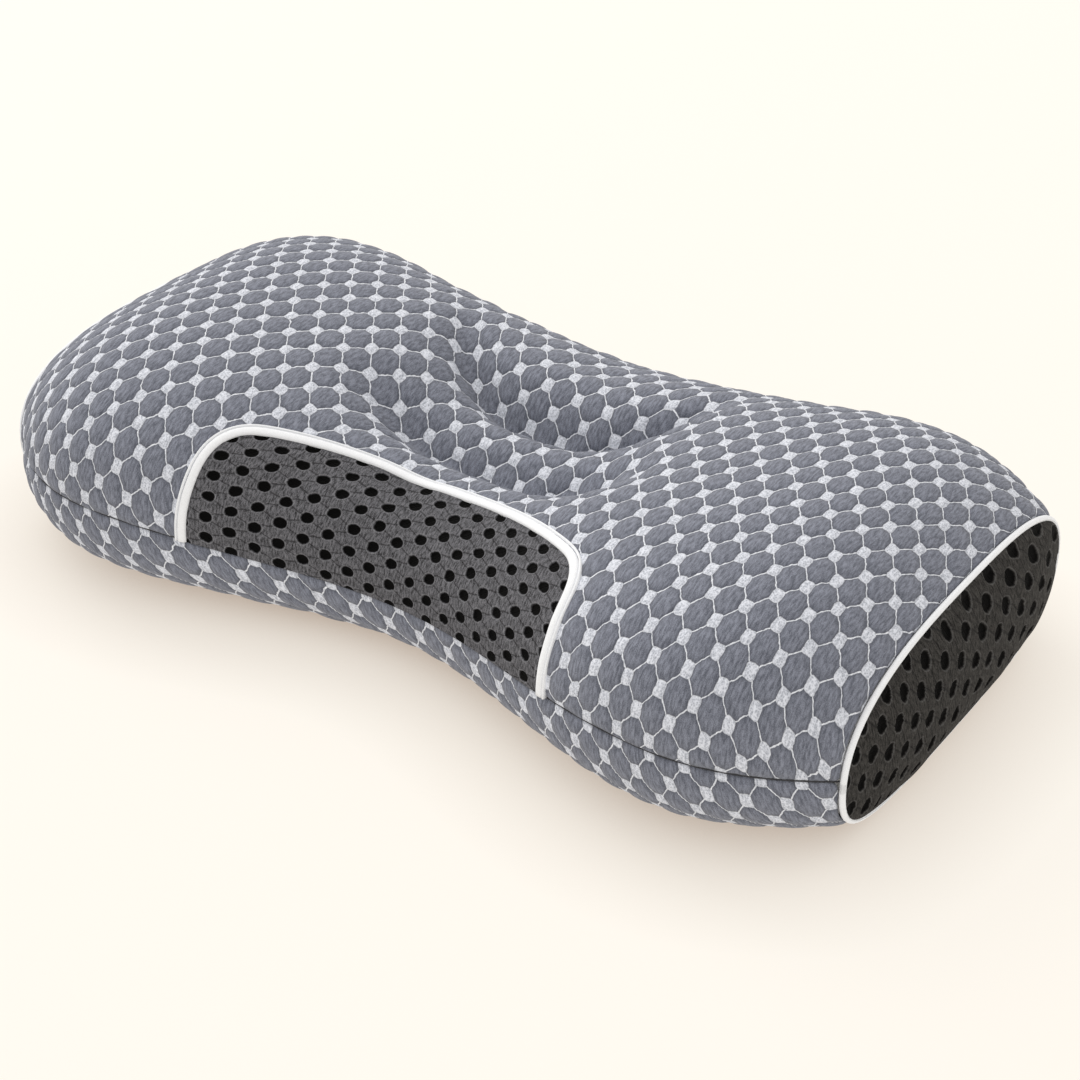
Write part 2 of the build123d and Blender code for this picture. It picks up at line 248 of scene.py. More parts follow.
def stuffed():
    """Swells the four skins against their seams with a cloth simulation; gives each grid's moved points."""
    grids = [part[0] for part in cover_parts + end_parts]
    faces, start, held = [], 0, []
    for k, grid in enumerate(grids):
        n, m = grid.shape[:2]
        quads = grid_faces(n, m, wrap=k > 1) + start
        faces.append(quads[:, ::-1] if k in (1, 2) else quads)
        hold = np.zeros((n, m))
        if k < 2:
            hold[[0, -1], :] = 1
            hold[:, [0, -1]] = 1
        else:
            hold[0] = 1
        if k == 0:
            for i in range(n):
                for line in trough_lines(grid[i, 0, 0] / MM):
                    near = np.exp(-(((grid[i, :, 1] / MM - line) / 5) ** 2))
                    hold[i] = np.maximum(hold[i], near * (abs(grid[i, 0, 0]) < 0.078))
        if k == 1:
            hold[grid[:, :, 2] < 1.5 * MM] = 1
        held.append(hold.ravel())
        start += n * m
    form = new_piece("stuffed_form", np.concatenate([g.reshape(-1, 3) for g in grids]), np.concatenate(faces))
    before = co_of(form)
    pins = form.vertex_groups.new(name="seams")
    for index, weight in enumerate(np.concatenate(held)):
        if weight > 0.02:
            pins.add([index], float(weight), "REPLACE")
    cloth = form.modifiers.new("Cloth", "CLOTH")
    settings = cloth.settings
    settings.quality = 5
    settings.vertex_group_mass = "seams"
    settings.use_pressure = True
    settings.uniform_pressure_force = 4.0
    settings.shrink_min = -0.02
    settings.tension_stiffness = settings.compression_stiffness = 15
    settings.bending_stiffness = 0.6
    settings.effector_weights.gravity = 0.0
    cloth.point_cache.frame_start, cloth.point_cache.frame_end = 1, SIM_STEPS
    for step in range(1, SIM_STEPS + 1):
        bpy.context.scene.frame_set(step)
    only(form)
    bpy.ops.object.modifier_apply(modifier=cloth.name)
    moved = co_of(form) - before
    bpy.context.scene.frame_set(1)
    bpy.data.objects.remove(form, do_unlink=True)
    result, start = [], 0
    for k, grid in enumerate(grids):
        count = grid.shape[0] * grid.shape[1]
        quads = grid_faces(*grid.shape[:2], wrap=k > 1)
        skin = new_piece("skin", grid, quads[:, ::-1] if k in (1, 2) else quads)
        out = normals_of(skin)
        bpy.data.objects.remove(skin, do_unlink=True)
        swell = (moved[start:start + count] * out).sum(axis=1).reshape(grid.shape[:2])
        for _ in range(2):
            swell[1:-1, 1:-1] = (
                2 * swell[1:-1, 1:-1] + swell[:-2, 1:-1] + swell[2:, 1:-1]
                + swell[1:-1, :-2] + swell[1:-1, 2:]
            ) / 6
        sunk = abs(grid[:, :, 0] / 0.095) ** 4 + ((grid[:, :, 1] - 0.01) / 0.075) ** 4
        cradle = np.exp(-sunk) if k == 0 else 0
        cap = (1.6 + 3.4 * cradle) * MM
        swell = np.tanh(np.maximum(swell, 0) / cap) * cap
        result.append(grid + out.reshape(grid.shape) * swell[..., None])
        start += count
    return result


skins = stuffed()

# ---------------------------------------------------------------- quilting and holes in the surface


def quilt_cell(cloth):
    """Each point's nearness to its jacquard cell's edge, and its gap to the small square's middle."""
    p, q = cloth[:, 0] / CELL_X, cloth[:, 1] / CELL_Y
    s, t = (p + q) / 2, (p - q) / 2
    ds, dt = np.abs(s - np.round(s)), np.abs(t - np.round(t))
    edge = ((2 * ds) ** 6 + (2 * dt) ** 6 + ((ds + dt) / 0.71) ** 6) ** (1 / 6)
    square = ((1 - ds - dt) ** 4 + (ds - dt) ** 4) ** 0.25
    return edge, square


def quilted(piece, fade):
    """Puffs every octagon, and draws the cloth in along its seams."""
    edge, square = quilt_cell(cloth_of(piece))
    puff = np.clip(1 - edge**2.6, 0, 1) ** 0.8 * PAD_PUFF * MM
    puff = np.maximum(puff, SQUARE_PUFF * MM * np.clip(1 - (square / 0.31) ** 2, 0, 1))
    set_co(piece, co_of(piece) + normals_of(piece) * ((puff - SEAM_DRAW * MM) * fade)[:, None])


def near_line(points, line_points, reach):
    """How near each point is to a seam line: 1 on it, 0 past reach."""
    tree = KDTree(len(line_points))
    for index, point in enumerate(line_points):
        tree.insert(point, index)
    tree.balance()
    gaps = np.array([tree.find(point)[2] for point in points])
    return np.clip(1 - gaps / reach, 0, 1)


def hole_depth(cloth, steps):
    """1 inside a hole of the mesh cloth and 0 between holes."""
    (ax, ay), (bx, by), radius, squash = steps
    det = ax * by - ay * bx
    u, v = cloth[:, 0] / MM, cloth[:, 1] / MM
    a, b = (u * by - v * bx) / det, (v * ax - u * ay) / det
    fa, fb = a - np.round(a), b - np.round(b)
    gap = np.hypot(fa * ax + fb * bx, squash * (fa * ay + fb * by))
    return np.clip((radius + 0.6 - gap) / 1.4, 0, 1)


# ---------------------------------------------------------------- seam lines

def plan_edge(inset):
    """The front panel's edge seen from above, left lower end over the roll to the right, in millimetres."""
    half = 129 - inset
    shoulder = Vector((-half, -126))
    corner = Vector((-105.9 + 0.55 * inset, -88.4 - 0.83 * inset))
    crown = Vector((0, -60 - inset))
    side = interpolate_bezier(shoulder, shoulder + Vector((0, 22)), corner - Vector((8, 4.2)), corner, 16)
    over = interpolate_bezier(corner, corner + Vector((34, 17.5)), crown - Vector((44, 0)), crown, 40)
    left = [(p[0], p[1]) for p in side[:-1] + over]
    return np.array(left + [(-x, y) for x, y in left[-2::-1]])


def on_top(x, y):
    """The top's point above (x, y), in metres."""
    ys, zs, _, _ = section(x, 0, 241)
    return np.array([x, y, np.interp(y, ys, zs)]) * MM


def panel_edge(inset):
    """The same edge as points on the stuffed form, from seam to seam."""
    plan = plan_edge(inset)
    half = plan[-1][0]
    ys, zs, run, _ = section(half, 0, 241)
    below = ys < -126
    rise = np.stack([np.full(below.sum(), half), ys[below], zs[below]], 1)[::6]
    over = np.array([on_top(x, y) for x, y in plan])
    return np.concatenate([rise * (-1, 1, 1) * MM, over, rise[::-1] * MM])


front_seam = cover_parts[0][0][:, 0]
back_seam = cover_parts[0][0][:, -1]
side_rims = [end_parts[k][0][0] for k in (0, 1)]
end_rings = [rim_shade.copy() for rim_shade in side_rims]
for side, ring in zip((-1, 1), end_rings):
    ring[:, 0] = side * PANEL_X * MM
band_line = panel_edge(3.25)


def dense(line, step=1.5 * MM):
    """The same line with points closer together."""
    run = np.concatenate([[0], np.cumsum(np.linalg.norm(np.diff(line, axis=0), axis=1))])
    even = np.linspace(0, run[-1], max(2, int(run[-1] / step)))
    return np.stack([np.interp(even, run, line[:, k]) for k in range(3)], 1)


# ---------------------------------------------------------------- covers and panels

def cover_sheet(name, part, index, rows):
    grid, cloth = skins[index], part[1]
    faces = grid_faces(COLUMNS, rows)
    sheet = new_piece(name, grid, faces[:, ::-1] if index == 1 else faces, cloth)
    run = np.zeros(cloth.shape)
    run[..., 0] = grid[..., 0]
    run[..., 1] = cloth[..., 1] - cloth[:, :1, 1]
    layer = sheet.data.uv_layers.new(name="panel")
    corners = np.zeros(len(sheet.data.loops), dtype=np.int32)
    sheet.data.loops.foreach_get("vertex_index", corners)
    layer.data.foreach_set("uv", run.reshape(-1, 2)[corners].astype(np.float32).ravel())
    return applied(sheet, "SUBSURF", levels=2, render_levels=2, uv_smooth="NONE")


def faces_kept(piece, keep):
    """Takes away the faces whose middles fail the test."""
    only(piece)
    middles = np.zeros(len(piece.data.polygons) * 3, dtype=np.float32)
    piece.data.polygons.foreach_get("center", middles)
    drop = ~keep(middles.reshape(-1, 3).astype(float) / MM)
    bpy.ops.object.mode_set(mode="EDIT")
    bpy.ops.mesh.select_mode(type="FACE")
    bpy.ops.mesh.select_all(action="DESELECT")
    bpy.ops.object.mode_set(mode="OBJECT")
    piece.data.polygons.foreach_set("select", drop)
    bpy.ops.object.mode_set(mode="EDIT")
    bpy.ops.mesh.delete(type="FACE")
    bpy.ops.object.mode_set(mode="OBJECT")


def in_panel(middles, inset):
    """Which points lie inside the front panel's plan."""
    edge = plan_edge(inset)
    reach = np.interp(middles[:, 0], edge[:, 0], edge[:, 1])
    return (abs(middles[:, 0]) < 129 - inset) & (middles[:, 1] < reach)


def in_slit(middles):
    return (abs(middles[:, 0]) < 123) & (middles[:, 1] > 140) & (abs(middles[:, 2] - BACK_SEAM) < 5.45)


top = cover_sheet("top_cover_knit", cover_parts[0], 0, ROWS[0])
base = cover_sheet("bottom_cover_knit", cover_parts[1], 1, ROWS[1])
smooth_top = skin_of(top)
seams = np.concatenate([dense(line) for line in (front_seam, back_seam, *end_rings)])
band_points = dense(band_line)

front = top.copy()
front.data = top.data.copy()
front.name = "front_panel_mesh"
bpy.context.collection.objects.link(front)

for sheet in (top, base):
    points = co_of(sheet)
    by_seam = near_line(points, seams, 7 * MM)
    by_band = near_line(points, band_points, 9 * MM) if sheet is top else 0 * by_seam
    quilted(sheet, np.clip(1.4 * (1 - np.maximum(by_seam, by_band)), 0, 1))
    draw_in = 1.6 * MM * by_seam**2 + 0.9 * MM * by_band**2
    set_co(sheet, co_of(sheet) - normals_of(sheet) * draw_in[:, None])
faces_kept(top, lambda m: ~in_panel(m, 3.2) & ~in_slit(m))
faces_kept(base, lambda m: ~in_slit(m))
points = co_of(base)
points[:, 2] = np.maximum(points[:, 2], 0.3 * MM)
set_co(base, points)

faces_kept(front, lambda m: in_panel(m, 2.4))
front.data.uv_layers.remove(front.data.uv_layers["cloth"])
front.data.uv_layers[0].name = "cloth"
corner_cloth = np.zeros(len(front.data.loops) * 2, dtype=np.float32)
front.data.uv_layers[0].data.foreach_get("uv", corner_cloth)
corner_cloth = corner_cloth.reshape(-1, 2) + np.array(FRONT_SHIFT, dtype=np.float32) * MM
front.data.uv_layers[0].data.foreach_set("uv", corner_cloth.ravel())
applied(front, "SUBSURF", levels=1, render_levels=1, uv_smooth="NONE")
points = co_of(front)
by_band = near_line(points, band_points, 9 * MM)
sunk = 0.5 * by_band**2
dents = HOLE_SINK_FRONT * hole_depth(cloth_of(front), FRONT_HOLES) * np.clip(2 - 3 * by_band, 0, 1)
dents *= 1 - near_line(points, dense(front_seam), 7 * MM)
set_co(front, points - normals_of(front) * ((sunk + dents) * MM)[:, None])

ends = []
for side, part, skin, name in ((-1, end_parts[0], skins[2], "left"), (1, end_parts[1], skins[3], "right")):
    rings, around = skin.shape[:2]
    faces = grid_faces(rings, around, wrap=True)
    faces = (faces[:, ::-1] if side < 0 else faces).tolist()
    centre = [(rings - 1) * around + j for j in range(around)]
    faces.append(centre if side < 0 else centre[::-1])
    panel = new_piece(name + "_end_mesh", skin, faces, part[1])
    applied(panel, "SUBSURF", levels=2, render_levels=2, uv_smooth="NONE")
    points = co_of(panel)
    by_rim = near_line(points, dense(end_rings[0 if side < 0 else 1]), 8 * MM)
    dents = HOLE_SINK_END * hole_depth(cloth_of(panel), END_HOLES) * np.clip(1.6 - 3 * by_rim, 0, 1)
    set_co(panel, points - normals_of(panel) * ((dents + 1.2 * by_rim**2) * MM)[:, None])
    ends.append(panel)

thicknesses = (KNIT_THICK, KNIT_THICK, FRONT_THICK, END_THICK, END_THICK)
for sheet, thick in zip((top, base, front, *ends), thicknesses):
    applied(sheet, "SOLIDIFY", thickness=thick * MM, offset=-1)


# ---------------------------------------------------------------- piping, and seam thread that also paints the seams' shade

def swept(name, path, outward, profile, closed=False):
    """A strip of this profile along a path: profile points are (across, outward) in millimetres."""
    ahead = np.roll(path, -1, axis=0) - np.roll(path, 1, axis=0)
    if not closed:
        ahead[0], ahead[-1] = path[1] - path[0], path[-1] - path[-2]
    ahead /= np.linalg.norm(ahead, axis=1, keepdims=True)
    outward = outward - ahead * (outward * ahead).sum(axis=1, keepdims=True)
    outward /= np.linalg.norm(outward, axis=1, keepdims=True)
    across = np.cross(ahead, outward)
    flat = np.array(profile) * MM
    points = path[:, None] + across[:, None] * flat[None, :, :1] + outward[:, None] * flat[None, :, 1:]
    run = np.concatenate([[0], np.cumsum(np.linalg.norm(np.diff(path, axis=0), axis=1))])
    round_run = np.concatenate([[0], np.cumsum(np.linalg.norm(np.diff(flat, axis=0), axis=1))])
    cloth = np.stack(np.meshgrid(run, round_run, indexing="ij"), -1)
    n, m = points.shape[:2]
    faces = grid_faces(n, m, wrap=True).tolist()
    if closed:
        faces += [[(n - 1) * m + j, j, (j + 1) % m, (n - 1) * m + (j + 1) % m] for j in range(m)]
    else:
        faces += [list(range(m)), [(n - 1) * m + j for j in range(m)][::-1]]
    strip = new_piece(name, points, faces, cloth)
    only(strip)
    bpy.ops.object.mode_set(mode="EDIT")
    bpy.ops.mesh.select_all(action="SELECT")
    bpy.ops.mesh.normals_make_consistent(inside=False)
    bpy.ops.object.mode_set(mode="OBJECT")
    return strip


def round_profile(radius, sides=12):
    return [(radius * cos(2 * pi * k / sides), radius * sin(2 * pi * k / sides)) for k in range(sides)]


band_path, band_out = [], []
for point in dense(band_line, 2.5 * MM):
    spot, normal, _, _ = smooth_top.find_nearest(point)
    band_path.append(spot)
    band_out.append(normal)
for _ in range(4):
    band_path[1:-1] = [(a + 2 * b + c) / 4 for a, b, c in zip(band_path, band_path[1:], band_path[2:])]
    band_out[1:-1] = [(a + b + c) / 3 for a, b, c in zip(band_out, band_out[1:], band_out[2:])]
band_profile = [
    (-3.6, -1.8), (-3.6, 0.4), (-3.3, 1.0), (-2.8, 1.3), (-2.3, 1.0), (-1.95, -1.0), (-1.55, 0.85),
    (-0.9, 1.3), (0.8, 1.5), (2.4, 1.35), (3.3, 0.7), (3.6, -1.8),
]
band = swept("front_piping_band", np.array(band_path), np.array(band_out), band_profile)

pipings = []
for ring, name in zip(end_rings, ("left", "right")):
    middle = (ring.max(axis=0) + ring.min(axis=0)) / 2
    smooth = ring.copy()
    for _ in range(4):
        smooth = (np.roll(smooth, 1, axis=0) + 2 * smooth + np.roll(smooth, -1, axis=0)) / 4
    pipings.append(swept(name + "_end_piping", smooth, smooth - middle, round_profile(1.75, 14), closed=True))

# Dark thread tubes lie in the front and back seam grooves; besides the thread, they paint the grooves' shade
# as a dark line
threads = []
for line, name in ((front_seam, "front"), (back_seam, "back")):
    path = dense(line, 4 * MM)
    inward = np.array([0, -1.0 if name == "front" else 1.0, 0])
    path = path - inward * 1.7 * MM
    beside_zip = [path[path[:, 0] < -0.123], path[path[:, 0] > 0.123]]
    for k, part in enumerate([path] if name == "front" else beside_zip):
        outs = np.tile(inward, (len(part), 1))
        threads.append(swept(f"{name}_seam_thread_and_shade_{k}", part, outs, round_profile(0.5, 8)))


# ---------------------------------------------------------------- zip

def coil(name, node):
    """A row of nylon turns along the rod's place, copied from one turn."""
    low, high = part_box(node)
    middle = (Vector(low) + Vector(high)) / 2
    pitch = 1.6 * MM
    bpy.ops.object.select_all(action="DESELECT")
    bpy.ops.mesh.primitive_torus_add(
        major_radius=0.72 * MM, minor_radius=0.36 * MM, major_segments=12, minor_segments=6,
        location=(low[0] + 0.6 * MM, middle.y, middle.z), rotation=(0, pi / 2, 0.25),
    )
    row = bpy.context.object
    row.name = name
    bpy.ops.object.transform_apply(location=True, rotation=True, scale=True)
    count = int((high[0] - low[0] - 1.2 * MM) / pitch) + 1
    array = row.modifiers.new("Array", "ARRAY")
    array.use_relative_offset, array.use_constant_offset = False, True
    array.constant_offset_displace = (pitch, 0, 0)
    array.count = count
    bpy.ops.object.modifier_apply(modifier=array.name)
    bpy.ops.object.shade_smooth()
    return row


coils = [coil("zip_teeth_upper", "zip_coil_upper"), coil("zip_teeth_lower", "zip_coil_lower")]


# ---------------------------------------------------------------- finishes

def add_node(tree, kind, values=None, **settings):
    node = tree.nodes.new(kind)
    for key, value in settings.items():
        setattr(node, key, value)
    for key, value in (values or {}).items():
        if isinstance(value, bpy.types.NodeSocket):
            tree.links.new(value, node.inputs[key])
        else:
            node.inputs[key].default_value = value
    return node


def calc(tree, operation, *values, clamp=False):
    node = add_node(tree, "ShaderNodeMath", dict(enumerate(values)), operation=operation, use_clamp=clamp)
    return node.outputs[0]


def mixed(tree, share, first, second):
    values = {"Factor": share, "A": first, "B": second}
    node = tree.nodes.new("ShaderNodeMix")
    node.data_type = "RGBA"
    for socket in node.inputs:
        wanted = socket.type == "RGBA" or socket.name == "Factor" and socket.type == "VALUE"
        if socket.name in values and wanted:
            value = values[socket.name]
            if isinstance(value, bpy.types.NodeSocket):
                tree.links.new(value, socket)
            else:
                socket.default_value = value
    return next(o for o in node.outputs if o.type == "RGBA")


def tone(grey, warm=0.0, cool=0.0):
    return (grey * (1 + warm), grey, grey * (1 - warm + cool), 1)


def effect(name, inputs, outputs):
    """A node group with these inputs (name: default) and outputs."""
    group = bpy.data.node_groups.new(name, "ShaderNodeTree")
    for label, default in inputs.items():
        vector = default is None
        socket = group.interface.new_socket(
            name=label, in_out="INPUT", socket_type="NodeSocketVector" if vector else "NodeSocketFloat"
        )
        if not vector:
            socket.default_value = default
    for label in outputs:
        group.interface.new_socket(name=label, in_out="OUTPUT", socket_type="NodeSocketFloat")
    return group, group.nodes.new("NodeGroupInput"), group.nodes.new("NodeGroupOutput")


def yarn_effect():
    """Short fibres lying one way, with a fine speckle."""
    group, given, result = effect("yarn", {"Cloth": None, "Fibre": 900.0}, ("Tone", "Height"))
    cloth = given.outputs["Cloth"]
    turned = add_node(
        group, "ShaderNodeMapping", {"Vector": cloth, "Rotation": (0, 0, 0.5), "Scale": (1, 0.28, 1)},
    )
    fibre = add_node(
        group, "ShaderNodeTexNoise",
        {"Vector": turned.outputs[0], "Scale": given.outputs["Fibre"], "Detail": 3.0, "Roughness": 0.65},
    )
    speck = add_node(group, "ShaderNodeTexNoise", {"Vector": cloth, "Scale": 2100.0, "Detail": 2.0})
    fine = calc(group, "MULTIPLY", speck.outputs[0], 0.4)
    both = calc(group, "MULTIPLY_ADD", fibre.outputs[0], 0.6, fine)
    spread = calc(group, "MULTIPLY_ADD", calc(group, "SUBTRACT", both, 0.5), 4.8, 0.5, clamp=True)
    group.links.new(spread, result.inputs["Tone"])
    group.links.new(both, result.inputs["Height"])
    return group


def wobbled(group, given, scale, detail):
    """The cloth's coordinates, shifted a little by noise so that woven lines aren't ruler straight."""
    cloth = given.outputs["Cloth"]
    wobble = add_node(group, "ShaderNodeTexNoise", {"Vector": cloth, "Scale": scale, "Detail": detail})
    shift = add_node(
        group, "ShaderNodeVectorMath", {0: wobble.outputs["Color"], 1: (0.5, 0.5, 0.5)}, operation="SUBTRACT"
    )
    small = add_node(group, "ShaderNodeVectorMath", {0: shift.outputs[0], "Scale": 0.0022}, operation="SCALE")
    moved = add_node(group, "ShaderNodeVectorMath", {0: cloth, 1: small.outputs[0]}, operation="ADD")
    return add_node(group, "ShaderNodeSeparateXYZ", {0: moved.outputs[0]})


def quilting_effect():
    """The jacquard's octagons, the small squares between them, and the thread lines where they meet."""
    group, given, result = effect("quilting", {"Cloth": None}, ("Square", "Thread", "Puff", "Rim shade"))
    parts = wobbled(group, given, 220.0, 3.0)
    p = calc(group, "DIVIDE", parts.outputs[0], CELL_X)
    q = calc(group, "DIVIDE", parts.outputs[1], CELL_Y)
    gaps = []
    for operation in ("ADD", "SUBTRACT"):
        along = calc(group, "MULTIPLY", calc(group, operation, p, q), 0.5)
        gaps.append(calc(group, "ABSOLUTE", calc(group, "SUBTRACT", along, calc(group, "ROUND", along))))
    ds, dt = gaps
    corner = calc(group, "SUBTRACT", 1.0, calc(group, "ADD", ds, dt))
    skew = calc(group, "SUBTRACT", ds, dt)
    fourths = calc(group, "ADD", calc(group, "POWER", corner, 4.0), calc(group, "POWER", skew, 4.0))
    from_square = calc(group, "POWER", fourths, 0.25)
    square = calc(group, "DIVIDE", calc(group, "SUBTRACT", 0.315, from_square), 0.02, clamp=True)
    side = calc(group, "SUBTRACT", 0.5, calc(group, "MAXIMUM", ds, dt))
    line = calc(group, "DIVIDE", calc(group, "SUBTRACT", 0.025, side), 0.009, clamp=True)
    outline = calc(group, "ABSOLUTE", calc(group, "SUBTRACT", from_square, 0.305))
    hem = calc(group, "DIVIDE", calc(group, "SUBTRACT", 0.022, outline), 0.012, clamp=True)
    thread = calc(
        group, "MAXIMUM", calc(group, "MULTIPLY", line, calc(group, "SUBTRACT", 1.0, square)),
        calc(group, "MULTIPLY", hem, 0.45),
    )
    cut = calc(group, "DIVIDE", calc(group, "ADD", ds, dt), 0.71)
    edge = calc(group, "MAXIMUM", calc(group, "MULTIPLY", calc(group, "MAXIMUM", ds, dt), 2.0), cut)
    # Rim shade: rises towards each octagon's edge; it paints the shade of the grooves between the puffed pads
    rim_shade = calc(group, "POWER", edge, 6.0, clamp=True)
    inside = calc(group, "SUBTRACT", 1.0, calc(group, "POWER", edge, 5.0, clamp=True), clamp=True)
    puff = calc(group, "POWER", inside, 0.5)
    nearness = calc(group, "SUBTRACT", 1.0, calc(group, "DIVIDE", from_square, 0.315), clamp=True)
    pad = calc(group, "SQRT", nearness)
    puff = calc(group, "MAXIMUM", puff, calc(group, "MULTIPLY", pad, 0.6))
    puff = calc(group, "MAXIMUM", puff, calc(group, "MULTIPLY", thread, 0.35))
    for label, value in (("Square", square), ("Thread", thread), ("Puff", puff), ("Rim shade", rim_shade)):
        group.links.new(value, result.inputs[label])
    return group


def holes_effect():
    """Round holes on a slanted grid, with a pale lip round each and dark lines from hole to hole."""
    steps = {"Step ax": 13.0, "Step ay": 4.0, "Step bx": 2.0, "Step by": -12.0}
    names = {"Cloth": None, **steps, "Radius": 3.3, "Squash": 1.0}
    group, given, result = effect("mesh_holes", names, ("Hole", "Lip", "Line", "Height"))
    parts = wobbled(group, given, 140.0, 2.0)
    u, v = (calc(group, "MULTIPLY", parts.outputs[k], 1000.0) for k in (0, 1))
    ax, ay, bx, by = (given.outputs[k] for k in ("Step ax", "Step ay", "Step bx", "Step by"))

    def cross(a, b, c, d):
        return calc(group, "SUBTRACT", calc(group, "MULTIPLY", a, b), calc(group, "MULTIPLY", c, d))

    det = cross(ax, by, ay, bx)
    a = calc(group, "DIVIDE", cross(u, by, v, bx), det)
    b = calc(group, "DIVIDE", cross(v, ax, u, ay), det)
    fa, fb = (calc(group, "SUBTRACT", k, calc(group, "ROUND", k)) for k in (a, b))
    gap_x = calc(group, "ADD", calc(group, "MULTIPLY", fa, ax), calc(group, "MULTIPLY", fb, bx))
    gap_y = calc(group, "ADD", calc(group, "MULTIPLY", fa, ay), calc(group, "MULTIPLY", fb, by))
    gap_y = calc(group, "MULTIPLY", gap_y, given.outputs["Squash"])
    squares = calc(group, "ADD", calc(group, "POWER", gap_x, 2.0), calc(group, "POWER", gap_y, 2.0))
    gap = calc(group, "SQRT", squares)
    past = calc(group, "SUBTRACT", gap, given.outputs["Radius"])
    hole = calc(group, "DIVIDE", calc(group, "SUBTRACT", 0.15, past), 0.6, clamp=True)
    from_lip = calc(group, "ABSOLUTE", calc(group, "SUBTRACT", past, 0.55))
    lip = calc(group, "SUBTRACT", 1.0, calc(group, "DIVIDE", from_lip, 0.6), clamp=True)
    wave = calc(group, "MULTIPLY", calc(group, "SINE", calc(group, "MULTIPLY", a, 2 * pi)), 0.07)
    row = calc(group, "ABSOLUTE", calc(group, "ADD", fb, wave))
    slant = calc(group, "SUBTRACT", a, b)
    slant = calc(group, "ABSOLUTE", calc(group, "SUBTRACT", slant, calc(group, "ROUND", slant)))
    nearest = calc(group, "MINIMUM", row, slant)
    line = calc(group, "SUBTRACT", 1.0, calc(group, "DIVIDE", nearest, 0.05), clamp=True)
    sunk = calc(group, "ADD", hole, calc(group, "MULTIPLY", line, 0.5))
    height = calc(group, "SUBTRACT", calc(group, "MULTIPLY", lip, 0.35), sunk)
    for label, value in (("Hole", hole), ("Lip", lip), ("Line", line), ("Height", height)):
        group.links.new(value, result.inputs[label])
    return group


yarn, quilting, mesh_holes = yarn_effect(), quilting_effect(), holes_effect()


def finish(name, roughness, **sockets):
    """A material with a Principled shader; gives the tree and the shader."""
    material = bpy.data.materials.new(name)
    material.use_nodes = True
    shader = material.node_tree.nodes["Principled BSDF"]
    shader.inputs["Roughness"].default_value = roughness
    for key, value in sockets.items():
        shader.inputs[key.replace("_", " ")].default_value = value
    return material, material.node_tree, shader


def use(tree, group, **values):
    node = tree.nodes.new("ShaderNodeGroup")
    node.node_tree = group
    for key, value in values.items():
        key = key.replace("_", " ")
        if isinstance(value, bpy.types.NodeSocket):
            tree.links.new(value, node.inputs[key])
        else:
            node.inputs[key].default_value = value
    return node


def bumped(tree, shader, height, distance):
    bump = add_node(tree, "ShaderNodeBump", {"Height": height, "Distance": distance * MM, "Strength": 1.0})
    tree.links.new(bump.outputs[0], shader.inputs["Normal"])


def cloth_place(tree):
    return add_node(tree, "ShaderNodeUVMap", uv_map="cloth").outputs[0]


def jacquard():
    material, tree, shader = finish(
        "quilted_jacquard", 0.92, Sheen_Weight=0.12, Sheen_Roughness=0.6, Specular_IOR_Level=0.25
    )
    place = cloth_place(tree)
    cells = use(tree, quilting, Cloth=place)
    fibre = use(tree, yarn, Cloth=place, Fibre=680.0)
    pad = mixed(tree, fibre.outputs["Tone"], (0.088, 0.096, 0.124, 1), (0.245, 0.262, 0.322, 1))
    # Painted shade: the pads darken towards their rims, where the grooves between them fall into shadow
    pad = mixed(tree, calc(tree, "MULTIPLY", cells.outputs["Rim shade"], 0.6), pad, (0.060, 0.066, 0.086, 1))
    grain = add_node(tree, "ShaderNodeTexVoronoi", {"Vector": place, "Scale": 950.0})
    fluff = calc(tree, "MULTIPLY", fibre.outputs["Tone"], 0.5)
    stipple = calc(tree, "MULTIPLY_ADD", grain.outputs["Distance"], 0.9, fluff, clamp=True)
    pale = mixed(tree, stipple, (0.20, 0.22, 0.27, 1), (0.73, 0.76, 0.84, 1))
    white = mixed(tree, fibre.outputs["Tone"], (0.52, 0.545, 0.605, 1), (0.86, 0.885, 0.945, 1))
    colour = mixed(tree, cells.outputs["Square"], pad, pale)
    colour = mixed(tree, cells.outputs["Thread"], colour, white)
    tree.links.new(colour, shader.inputs["Base Color"])
    height = calc(tree, "MULTIPLY_ADD", fibre.outputs["Height"], 0.22, cells.outputs["Puff"])
    bumped(tree, shader, height, 0.9)
    return material


def spacer_mesh(name, steps, low, high, hole_and_shade_colour, lip_colour, lip_share):
    material, tree, shader = finish(name, 0.9, Specular_IOR_Level=0.12)
    place = cloth_place(tree)
    (ax, ay), (bx, by), radius, squash = steps
    holes = use(
        tree, mesh_holes, Cloth=place, Step_ax=ax, Step_ay=ay, Step_bx=bx, Step_by=by,
        Radius=radius, Squash=squash,
    )
    fibre = use(tree, yarn, Cloth=place, Fibre=1000.0)
    colour = mixed(tree, fibre.outputs["Tone"], low, high)
    colour = mixed(tree, calc(tree, "MULTIPLY", holes.outputs["Line"], 0.7), colour, tone(0.012))
    colour = mixed(tree, calc(tree, "MULTIPLY", holes.outputs["Lip"], lip_share), colour, lip_colour)
    # The holes take a near-black colour: the dark inner layer of the mesh, with the shade deep in each hole
    # painted in
    colour = mixed(tree, holes.outputs["Hole"], colour, hole_and_shade_colour)
    tree.links.new(colour, shader.inputs["Base Color"])
    height = calc(tree, "MULTIPLY_ADD", fibre.outputs["Height"], 0.3, holes.outputs["Height"])
    bumped(tree, shader, height, 0.7)
    return material


